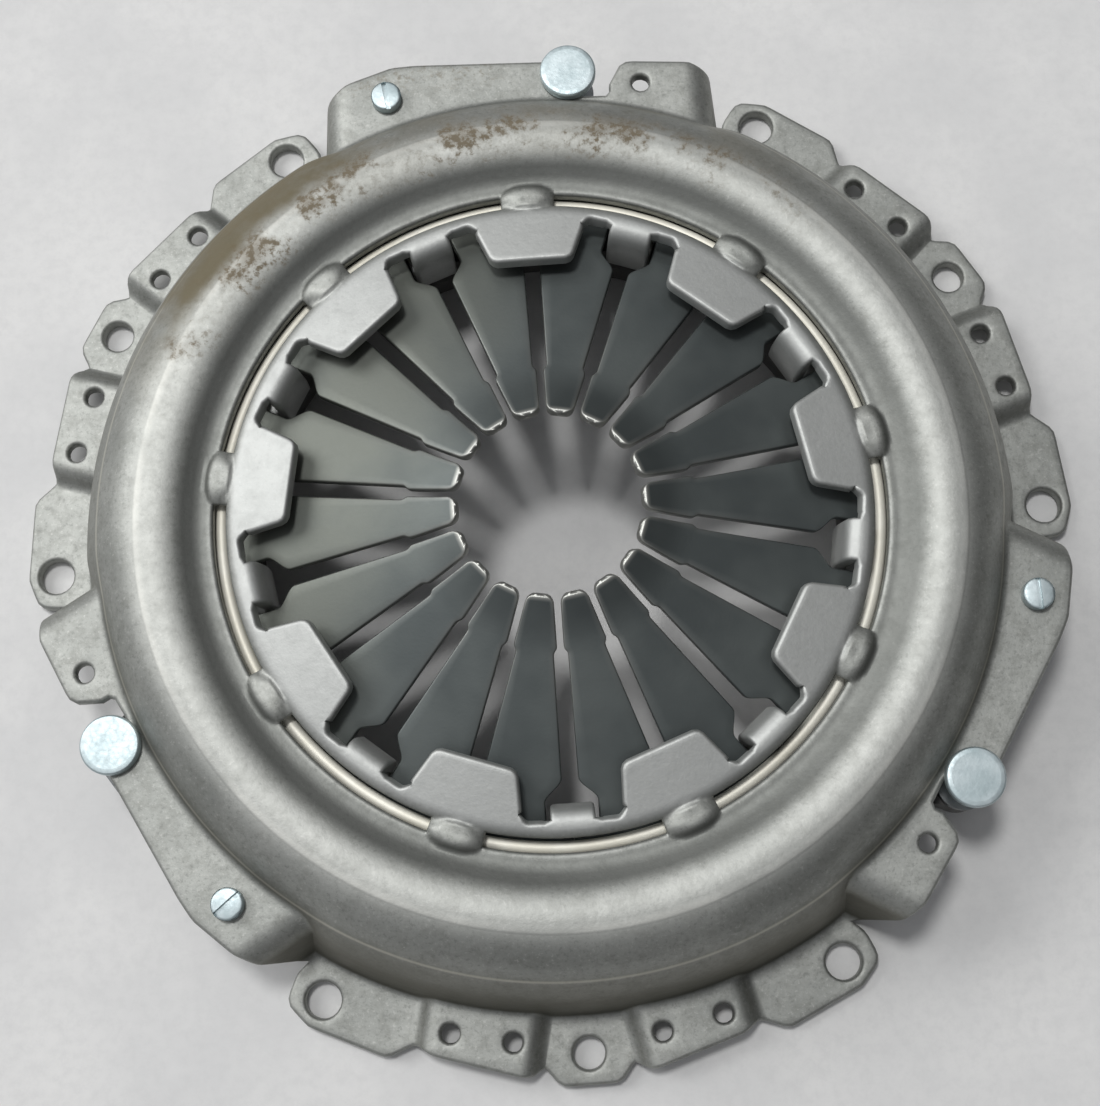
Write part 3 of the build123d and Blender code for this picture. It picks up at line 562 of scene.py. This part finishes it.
# the pressed cover, in mm: one sheet as a grid, rows from the rim tabs outwards, columns clockwise
cover = {
    "half": 1.75, "flangeTop": 4.0, "foot": (119.3, 2.25), "footRun": 0.24, "shoulder": (114.1, 28.4),
    "shoulderRound": 32.0, "crownRound": 13.6, "earShoulder": (111.2, 28.4), "earCrownRound": 11.2,
    "setBack": (23.5, 30.5), "crown": 98.5, "shoulderLevel": 32.0, "crease": 1.3, "lip": 0.9, "wallLip": 0.5,
    "inner": [(104.0, 40.45), (93.0, 40.45), (86.98, 36.05), (79.2, 36.05), (76.9, 38.35), (61.2, 41.4)],
    "innerRounds": [13.6, 8.4, 2.4, 3.0],
    "rimPitch": 40, "windowEdge": 75.2, "windowCorner": 1.8, "windowHalf": 11.9,
    "tabCorner": (13.92, 73.05), "tabEnd": (10.05, 63.2), "tabRound": 2.5,
    "slot": (79.5, 82.3), "bridge": (81.5, 7.4, 3.5, 2.3),  # radius, half length, half width, rise
    "hook": [(75.2, 40.46), (72.3, 40.85), (70.3, 31.0), (70.3, 21.75), (82.2, 21.75)],
    "hookRounds": [3.3, 8.0, 4.6], "hookHalf": 5.3,
    "earSection": [(57.6, 2.25), (52.6, 2.25), (48.6, 26.75), (-48.6, 26.75), (-52.6, 2.25), (-57.6, 2.25)],
    "earRounds": [3.5, 5.5, 5.5, 3.5], "earFoot": 55.5,
    "padSection": [(18.5, 4.0), (16.1, 4.0), (12.7, 8.2), (-12.7, 8.2), (-16.1, 4.0), (-18.5, 4.0)],
    "padRounds": [1.2, 2.4, 2.4, 1.2], "padFoot": 16.6, "padTurn": 12.0,
    "earOutline": [(-55.6, 110.2), (-54.2, 112.0), (-50.6, 118.6), (-45.0, 121.6), (-33.0, 125.4),
                   (-27.0, 125.6), (8.2, 124.0), (8.21, 119.6), (9.7, 116.0), (13.2, 114.6), (17.0, 113.4),
                   (24.6, 113.2), (24.8, 118.6), (28.4, 122.7), (45.5, 121.2), (51.2, 119.0), (54.2, 112.0),
                   (55.6, 110.2)],
    "earOutlineRounds": [1.5, 4.0, 4.0, 4.0, 4.0, 1.2, 0.5, 2.0, 2.0, 2.0, 1.6, 2.2, 3.0, 3.0, 2.5, 1.5],
    "earJumps": (8.205, 24.7),  # where the outline steps in and out for the stop rivet
    "groupOutline": [(0.0, 137.58), (7.2, 137.58), (10.9, 132.7), (14.2, 134.7), (17.2, 134.3), (37.8, 127.9),
                     (43.2, 124.9), (50.3, 127.5), (69.3, 118.6), (74.2, 112.8), (71.5, 106.6),
                     (67.6, 103.2)],
    "groupRounds": [3.0, 0.8, 1.4, 1.4, 4.0, 2.0, 3.0, 3.0, 3.0, 1.5],
    "padEnds": (2, 6),  # the outline's corners that the pad lies between
    "holes": [(0.0, 130.0, 4.0, 60), (65.0, 112.58, 4.5, 60), (-65.0, 112.58, 4.5, 60),
              (18.36, 125.87, 2.4, 60), (-18.36, 125.87, 2.4, 60), (33.78, 122.63, 2.4, 60),
              (-33.78, 122.63, 2.4, 60), (32.2, 116.0, 2.25, 0)],  # x, y, radius, turn
    "grid": {  # how it is divided: columns of a rim pitch, columns of half a sector, then rows
        "pitch": 75, "tab": (16, 59), "hook": 7, "bridge": 19,
        "middle": 9, "pad": 25, "outer": 29, "ear": 100,
        "spread": (33, 60, 80, 85), "spreadAngles": (-32.0, -25.6), "spreadFrom": 84.0,
        "tabRows": 14, "rimShares": (0.3, 0.54, 0.74, 0.88, 1), "slotRadii": (79.4, 80.4, 81.4, 82.4),
        "valleyRadii": (83.7, 84.3, 85.0, 86.0, 87.4, 89.2, 91.4, 93.7, 96.1),
        "dome": 9, "wall": 5, "crease": 4, "shelf": 10, "lip": 4,
    },
}
cells = cover["grid"]


def topLine(corners, radii, lift):  # a rounded line, moved out by lift, in rising order of x
    line = resample(rounded(corners, radii, 0.3), step=0.12)
    run = np.gradient(line, axis=0)
    run /= np.linalg.norm(run, axis=1)[:, None]
    return (line + np.stack([run[:, 1], -run[:, 0]], 1) * lift)[::-1]


def domeLine(shoulder, crownRound):  # the wall runs on under the flange, so that every level meets it
    foot, shoulder = np.array(cover["foot"]), np.array(shoulder)
    below = foot + (foot - shoulder) * cover["footRun"]
    rounds = [cover["shoulderRound"], crownRound, *cover["innerRounds"]]
    return topLine([below, shoulder, *cover["inner"]], rounds, cover["half"])


domes = [domeLine(cover["shoulder"], cover["crownRound"]),
         domeLine(cover["earShoulder"], cover["earCrownRound"])]


def setBack(angle):  # 1 on the stretch of dome behind an ear, 0 elsewhere
    near, far = cover["setBack"]
    return 1 - ease((np.abs(angle) - near) / (far - near))


def domePoint(level, angle, share=1.0, back=0.0, after=None):
    # radius and height at this share of the arc that ends, less back, where the dome is at level;
    # the arc starts on the crown, or where the dome is at height after
    mixed = 0
    for line, weight in zip(domes, (1 - setBack(angle), setBack(angle))):
        arc = np.r_[0, np.cumsum(np.linalg.norm(np.diff(line, axis=0), axis=1))]
        falls = line[:, 0] > cover["crown"]
        start = arc[falls][0] if after is None else np.interp(-after, -line[falls, 1], arc[falls])
        end = np.interp(-level, -line[falls, 1], arc[falls]) - back
        at = start + share * (end - start)
        mixed = mixed + weight * np.stack([np.interp(at, arc, line[:, 0]), np.interp(at, arc, line[:, 1])])
    return mixed


def plan(radius, angle):  # angle in degrees clockwise from +Y
    return np.stack([radius * np.sin(np.radians(angle)), radius * np.cos(np.radians(angle))], -1)


def steps(count):  # this many even shares, the last of them 1
    return np.linspace(0, 1, count + 1)[1:]


def clockwise(points, degrees):  # points in the plane turned about the axis, seen from above
    return turned(np.insert(points, 2, 0, 1), -degrees)[:, :2]


def sectorColumns():
    # for each column from one group's centre to the next: level, angle at the wall, outer end
    outline = rounded(cover["groupOutline"], cover["groupRounds"], 0.5)
    length = np.r_[0, np.cumsum(np.linalg.norm(np.diff(outline, axis=0), axis=1))]
    corners = (cover["groupOutline"][number] for number in cover["padEnds"])
    toPad, fromPad = (length[np.argmin(np.hypot(*(outline - corner).T))] for corner in corners)

    def onOutline(at):
        return np.stack([np.interp(at, length, outline[:, 0]), np.interp(at, length, outline[:, 1])], -1)

    pad = topLine(cover["padSection"], cover["padRounds"], 0)
    pad = resample(pad[np.abs(pad[:, 0]) <= cover["padFoot"]], cells["pad"])
    inPad = clockwise(outline, -cover["padTurn"])
    span = (length > toPad - 0.2) & (length < fromPad + 0.2)
    padEnd = np.stack([pad[:, 0], np.interp(pad[:, 0], inPad[span, 0], inPad[span, 1])], -1)
    padWall = domePoint(pad[:, 1], 60)[0]
    padAngle = cover["padTurn"] + np.degrees(np.arcsin(pad[:, 0] / padWall))
    ear = topLine(cover["earSection"], cover["earRounds"], cover["half"])
    ear = resample(ear[np.abs(ear[:, 0]) <= cover["earFoot"]], cells["ear"])
    for jump in cover["earJumps"]:
        near = np.searchsorted(ear[:, 0], jump)
        ear[near - 1, 0], ear[near, 0] = jump - 0.04, jump + 0.04
    earEdge = rounded(cover["earOutline"], cover["earOutlineRounds"], 0.4)
    earEdge[:, 0] = np.maximum.accumulate(earEdge[:, 0])
    earEnd = np.stack([ear[:, 0], np.interp(ear[:, 0], earEdge[:, 0], earEdge[:, 1])], -1)
    earAngle = np.degrees(ear[:, 0] / cover["foot"][0])
    for _ in range(6):  # the wall's radius depends on the angle, and the angle on the radius
        earAngle = np.degrees(np.arcsin(ear[:, 0] / domePoint(ear[:, 1], earAngle)[0]))
    middle, outer = np.linspace(0, 1, cells["middle"]), steps(cells["outer"] + 1)[:-1]
    flange = cover["flangeTop"]
    levels = np.r_[np.full(len(middle), flange), pad[:, 1], np.full(len(outer), flange)]
    angles = np.r_[middle * (padAngle[0] - 0.3), padAngle,
                   padAngle[-1] + outer * (60 + earAngle[0] - padAngle[-1])] - 60
    ends = np.vstack([onOutline(middle * toPad), clockwise(padEnd, cover["padTurn"]),
                      onOutline(fromPad + outer * (length[-1] - fromPad))])
    ends = clockwise(ends, -60)
    levels = np.r_[levels, ear[:, 1], levels[:0:-1]]
    angles = np.r_[angles, earAngle, -angles[:0:-1]]
    ends = np.vstack([ends, earEnd, ends[:0:-1] * [-1, 1]])
    return levels, angles, ends


def sectorGrid():
    # rows x columns x 3 in mm, in the frame of one ear, which cells are kept, and the first shelf row
    levels, wallAngle, ends = sectorColumns()
    pitch, (tabFrom, tabTo), hookTo = cells["pitch"], cells["tab"], cells["hook"]
    tabRows, count = cells["tabRows"], 3 * cells["pitch"]
    number = np.arange(count) % pitch
    shoulderAngle = wallAngle.copy()  # above an ear's end wall the columns spread out
    anchors = cells["spread"]
    span = np.arange(anchors[0], anchors[-1] + 1)
    spread = [wallAngle[anchors[0]], *cells["spreadAngles"], wallAngle[anchors[-1]]]
    shoulderAngle[span] = np.interp(span, anchors, spread)
    shoulderAngle[count - span] = -shoulderAngle[span]
    lip = cover["lip"]  # every cut is drawn back by the lip that sheetObject rolls over it
    windowEdge, corner = cover["windowEdge"] + lip, cover["windowCorner"] + lip
    straight = cover["windowHalf"] - cover["windowCorner"]
    half = math.degrees(math.atan2(straight + corner, windowEdge - corner))
    rimPitch = cover["rimPitch"]
    local = np.interp(number, [0, tabFrom, tabTo, pitch], [0, half, rimPitch - half, rimPitch])
    rimAngle = local + rimPitch * (np.arange(count) // pitch) - 60
    fromTab = local - rimPitch / 2
    fromWindow = (local + rimPitch / 2) % rimPitch - rimPitch / 2
    isTab = (number >= tabFrom) & (number <= tabTo)
    isHook = (number <= hookTo) | (number >= pitch - hookTo)

    def height(r):
        return np.interp(r, domes[0][:, 0], domes[0][:, 1])

    # inner ends: tab ends, hooks
    xWindow = windowEdge * np.tan(np.radians(np.abs(fromWindow)))
    inCorner = np.clip(xWindow - straight, 0, corner)
    bent = windowEdge - corner + np.sqrt(np.clip(corner**2 - inCorner**2, 0, None))
    rootRadius = np.where(isTab, math.hypot(straight + corner, windowEdge - corner), np.hypot(xWindow, bent))
    root = plan(rootRadius, rimAngle)
    tabCorner, tabEnd = np.array(cover["tabCorner"]), np.array(cover["tabEnd"])
    side = (tabCorner - tabEnd) / np.linalg.norm(tabCorner - tabEnd)
    x, y = tabCorner + np.array([-side[1], side[0]]) * lip
    endX, endY = tabEnd + (side - [1, 0]) * lip / side[1]
    tip = rounded([(-x, y), (-endX, endY), (endX, endY), (x, y)], [cover["tabRound"] - lip] * 2, 0.2)
    tip = resample(tip, tabTo - tabFrom + 1)
    hook = resample(rounded(cover["hook"], cover["hookRounds"], 0.3), tabRows)[::-1]
    middle = np.radians(rimAngle - fromWindow)
    aside = fromWindow / fromWindow[hookTo] * (cover["hookHalf"] - lip)
    rows = []
    for step, share in enumerate(np.linspace(0, 1, tabRows)):
        spot = root.copy()
        for turn in range(3):
            here = np.arange(tabFrom, tabTo + 1) + pitch * turn
            end = clockwise(tip, rimPitch * (turn - 1))
            spot[here] = end + (root[here] - end) * share
        z = np.where(isTab, height(np.hypot(*spot.T)), height(rootRadius))
        reach, level = hook[step]
        strip = np.stack([reach * np.sin(middle) + aside * np.cos(middle),
                          reach * np.cos(middle) - aside * np.sin(middle)], -1)
        spot = np.where(isHook[:, None], strip, spot)
        z = np.where(isHook & (share < 1), level, z)
        rows.append(np.column_stack([spot, z]))
    inner, outer = cover["slot"][0] - lip, cover["slot"][1] + lip
    for share in cells["rimShares"]:
        radius = rootRadius + share * (inner - rootRadius)
        rows.append(np.column_stack([plan(radius, rimAngle), height(radius)]))
    for radius in (*cells["slotRadii"], outer, *cells["valleyRadii"], cover["crown"]):
        past = np.clip((radius - cells["spreadFrom"]) / (cover["crown"] - cells["spreadFrom"]), 0, 1)
        angle = rimAngle + (shoulderAngle - rimAngle) * ease(0.5 * past)
        rows.append(np.column_stack([plan(radius, angle), height(radius) + 0 * angle]))
    # dome wall, then the crease as a quadratic curve, then the shelf
    for share in steps(cells["dome"]):
        angle = rimAngle + (shoulderAngle - rimAngle) * ease(0.5 + 0.5 * share)
        radius, z = domePoint(cover["shoulderLevel"] + 0 * angle, angle, share)
        rows.append(np.column_stack([plan(radius, angle), z]))
    for share in steps(cells["wall"]):
        angle = shoulderAngle + (wallAngle - shoulderAngle) * share
        radius, z = domePoint(levels, angle, share, cover["crease"], cover["shoulderLevel"])
        rows.append(np.column_stack([plan(radius, angle), z]))
    wall = rows[-1]
    bend = np.column_stack([plan(domePoint(levels, wallAngle)[0], wallAngle), levels])
    end = np.column_stack([ends, levels])
    reach = np.linalg.norm(end - bend, axis=1)[:, None]
    shelf = bend + (end - bend) / reach * np.minimum(cover["crease"], reach * 0.4)
    for u in steps(cells["crease"]):
        rows.append((1 - u) ** 2 * wall + 2 * u * (1 - u) * bend + u * u * shelf)
    shelfRow = len(rows)
    drawnBack = 1 - lip / np.linalg.norm(end - shelf, axis=1)[:, None]
    for share in steps(cells["shelf"]):
        rows.append(shelf + (end - shelf) * share * drawnBack)
    grid = np.array(rows)
    # bridges: an oval bulge across the slots
    r = np.hypot(grid[..., 0], grid[..., 1])
    along = r * np.sin(np.radians(fromTab))[None]
    bridgeRadius, bridgeHalf, bridgeWide, rise = cover["bridge"]
    oval = np.clip(1 - (along / bridgeHalf) ** 2 - ((r - bridgeRadius) / bridgeWide) ** 2, 0, None)
    grid[..., 2] += rise * np.sin(oval * np.pi / 2) ** 0.9
    keep = np.ones((len(grid) - 1, count), bool)
    keep[:tabRows - 1] = (isTab & (number < tabTo)) | (isHook & (number != hookTo))
    slotRow = tabRows + len(cells["rimShares"]) - 1
    keep[slotRow:slotRow + len(cells["slotRadii"]) + 1] = np.abs(2 * number + 1 - pitch) < cells["bridge"]
    return grid, keep, shelfRow


def openHole(grid, keep, firstRow, x, y, radius):
    # the rings of cells round the hole, square in the grid, are eased into circles
    distance = np.hypot(grid[firstRow:, :, 0] - x, grid[firstRow:, :, 1] - y)
    row, column = np.unravel_index(np.argmin(distance), distance.shape)
    row += firstRow
    count = grid.shape[1]
    alongRow = grid[row, (column + 1) % count, :2] - grid[row, (column - 1) % count, :2]
    alongColumn = grid[min(row + 1, len(grid) - 1), column, :2] - grid[row - 1, column, :2]
    radius += cover["lip"]
    wide = max(2, round(2 * radius / np.linalg.norm(alongRow)))
    deep = max(2, round(2 * radius / np.linalg.norm(alongColumn)))
    deep = min(deep, len(grid) - 2 - row, row - firstRow)
    alongRow = alongRow / np.linalg.norm(alongRow)
    alongColumn = np.array([-alongRow[1], alongRow[0]])
    span = 3  # rings that are moved, in units of the hole's own cells
    aside, onward = (np.arange(-span * most, span * most + 1) for most in (wide, deep))
    aside, onward = np.meshgrid(aside, onward)
    movable = (row + onward >= firstRow) & (row + onward < len(grid) - 1)
    aside, onward = aside[movable], onward[movable]
    q = np.maximum(np.abs(aside) / wide, np.abs(onward) / deep)  # 1 on the hole's edge
    turn = np.arctan2(onward / deep, aside / wide)[:, None]
    reach = radius * (0.3 + 0.7 * q)[:, None]  # the hole's radius where q is 1
    ring = np.array([x, y]) + reach * (np.cos(turn) * alongRow + np.sin(turn) * alongColumn)
    share = ease((q - 1) / 0.75)[:, None]  # from 1.75 on, the grid is as it was
    rows, columns = row + onward, (column + aside) % count
    grid[rows, columns, :2] = ring * (1 - share) + grid[rows, columns, :2] * share
    for step in range(-deep, deep):
        keep[row + step, (np.arange(-wide, wide) + column) % count] = False


def sheetObject(name, grid, keep, material):
    # the grid, the same grid pushed down its normals by the sheet's thickness, and between their cut
    # edges a wall whose top and bottom are quarter rounds, so every edge stands out by the lip
    rows, columns = grid.shape[:2]
    index = np.arange(rows * columns).reshape(rows, columns)
    index = np.hstack([index, index[:, :1]])
    faces = np.stack([index[:-1, :-1], index[:-1, 1:], index[1:, 1:], index[1:, :-1]], -1)[keep]
    top = grid.reshape(-1, 3)
    cross = np.cross(top[faces[:, 2]] - top[faces[:, 0]], top[faces[:, 3]] - top[faces[:, 1]])
    normal = np.zeros_like(top)
    for corner in range(4):
        np.add.at(normal, faces[:, corner], cross)
    normal /= np.maximum(np.linalg.norm(normal, axis=1), 1e-9)[:, None]
    onFlange = top[:, 2] < cover["flangeTop"] + 1
    bottom = top - normal * np.where(onFlange, cover["flangeTop"], 2 * cover["half"])[:, None]
    start, end = faces.reshape(-1), np.roll(faces, -1, 1).reshape(-1)
    there, back = start * len(top) + end, end * len(top) + start
    cut = ~np.isin(there, back)
    start, end = start[cut], end[cut]
    run = top[end] - top[start]
    out = np.cross(run, normal[start] + normal[end])
    out /= np.maximum(np.linalg.norm(out, axis=1), 1e-9)[:, None]
    outward = np.zeros_like(top)
    np.add.at(outward, start, out)
    np.add.at(outward, end, out)
    outward /= np.maximum(np.linalg.norm(outward, axis=1), 1e-9)[:, None]
    edge = np.unique(start)
    number = np.zeros(len(top), int)
    number[edge] = np.arange(len(edge))
    lip, small, quarter = cover["lip"], cover["wallLip"], steps(cells["lip"]) * np.pi / 2
    out, up = outward[edge], normal[edge]
    rings = [top[edge] + out * lip * math.sin(c) - up * lip * (1 - math.cos(c)) for c in quarter]
    rings += [bottom[edge] + out * (lip - small * (1 - math.sin(c))) + up * small * (1 - math.cos(c))
              for c in (*quarter[::-2], 0)]  # the small round below has half the steps
    points = np.vstack([top, bottom, *rings])
    points[:, 2] = np.maximum(points[:, 2], 0)  # the flange lies flat
    base = [2 * len(top) + number + ring * len(edge) for ring in range(len(rings))]
    levels = [np.arange(len(top)), *base, np.arange(len(top)) + len(top)]
    walls = [np.stack([high[end], high[start], low[start], low[end]], -1)
             for high, low in zip(levels, levels[1:])]
    steep = np.interp(normal[:, 2], [0.25, 0.75], [1, 0])
    steep = np.concatenate([steep, steep, np.tile(steep[edge], len(rings))])
    allFaces = np.vstack([faces, faces[:, ::-1] + len(top), *walls])
    return meshObject(name, points * mm, allFaces, material, {"steep": steep})


def coverObject():
    # three sectors side by side, one for each ear, then the holes
    sector, keep, shelfRow = sectorGrid()
    flat = sector.reshape(-1, 3)
    grid = np.concatenate([turned(flat, -earTurn * ear).reshape(sector.shape) for ear in range(3)], 1)
    keep = np.tile(keep, 3)
    for x, y, radius, offset in cover["holes"]:
        for ear in range(3):
            spot = turned(np.array([[x, y, 0.0]]), -offset - earTurn * ear)[0]
            openHole(grid, keep, shelfRow, spot[0], spot[1], radius)
    return sheetObject("pressedCover", grid, keep, looks["cover"])


attach(coverObject(), "cover", "clutch_cover")
print("stage: cover made")

# floor, light and camera
backdrop = {"half": 12.0, "level": -0.0001}
corners = [(x * backdrop["half"], y * backdrop["half"], backdrop["level"])
           for x, y in ((-1, -1), (1, -1), (1, 1), (-1, 1))]
meshObject("floor", corners, [(0, 1, 2, 3)], palePaper())

lamps = [
    {"name": "overhead", "size": 0.48, "power": 30.0, "at": (-0.36, 0.64, 2.6), "aim": (0, 0, 0.02)},
    {"name": "window", "size": 1.6, "power": 33.0, "at": (-1.75, 1.0, 1.6), "aim": (0, 0, 0.02)},
]
for lamp in lamps:
    data = bpy.data.lights.new(lamp["name"], "AREA")
    data.shape = "DISK"
    data.size = lamp["size"]
    data.energy = lamp["power"]
    light = bpy.data.objects.new(lamp["name"], data)
    light.location = lamp["at"]
    aim = Vector(lamp["aim"]) - light.location
    light.rotation_euler = aim.to_track_quat("-Z", "Y").to_euler()
    bpy.context.scene.collection.objects.link(light)

daylight = {"low": (0.07, 0.07, 0.068), "high": (0.95, 0.96, 1.0), "strength": 0.46}
world = bpy.data.worlds.new("studio")
bpy.context.scene.world = world
world.use_nodes = True
sky = Shade(world.node_tree)
world.node_tree.nodes.clear()
x, y, z = parts(sky, sky.node("ShaderNodeTexCoord", out=0))[1:]
glow = (z * 0.85 - x * 0.5).clip(-0.1, 0.95)  # brighter overhead and on the window's side
glowColour = glow.mix(daylight["low"], daylight["high"])
background = sky.node("ShaderNodeBackground", {}, {"Color": glowColour, "Strength": daylight["strength"]})
sky.node("ShaderNodeOutputWorld", {}, {"Surface": background})

view = {"focal": 1733.41, "frame": 1100,  # pixels
        "turn": 4.2492,  # degrees
        "tilt": -0.2118, "roll": -0.0087,  # radians
        "shift": (0.3693, 2.392, -459.089),  # the axis's foot seen from the camera, mm
        "sensor": 36.0, "nearest": 0.01}
turn = (Matrix.Rotation(view["roll"], 3, "Y") @ Matrix.Rotation(view["tilt"], 3, "X")
        @ Matrix.Rotation(math.radians(view["turn"]), 3, "Z"))
back = turn.transposed()
camera = bpy.data.objects.new("camera", bpy.data.cameras.new("camera"))
camera.data.sensor_fit = "HORIZONTAL"
camera.data.sensor_width = view["sensor"]
camera.data.lens = view["sensor"] * view["focal"] / view["frame"]
camera.data.clip_start = view["nearest"]
camera.matrix_world = Matrix.Translation(back @ Vector(view["shift"]) * -mm) @ back.to_4x4()
bpy.context.scene.collection.objects.link(camera)
bpy.context.scene.camera = camera
bpy.context.scene.view_settings.view_transform = "Standard"
print("stage: floor, light and camera made")
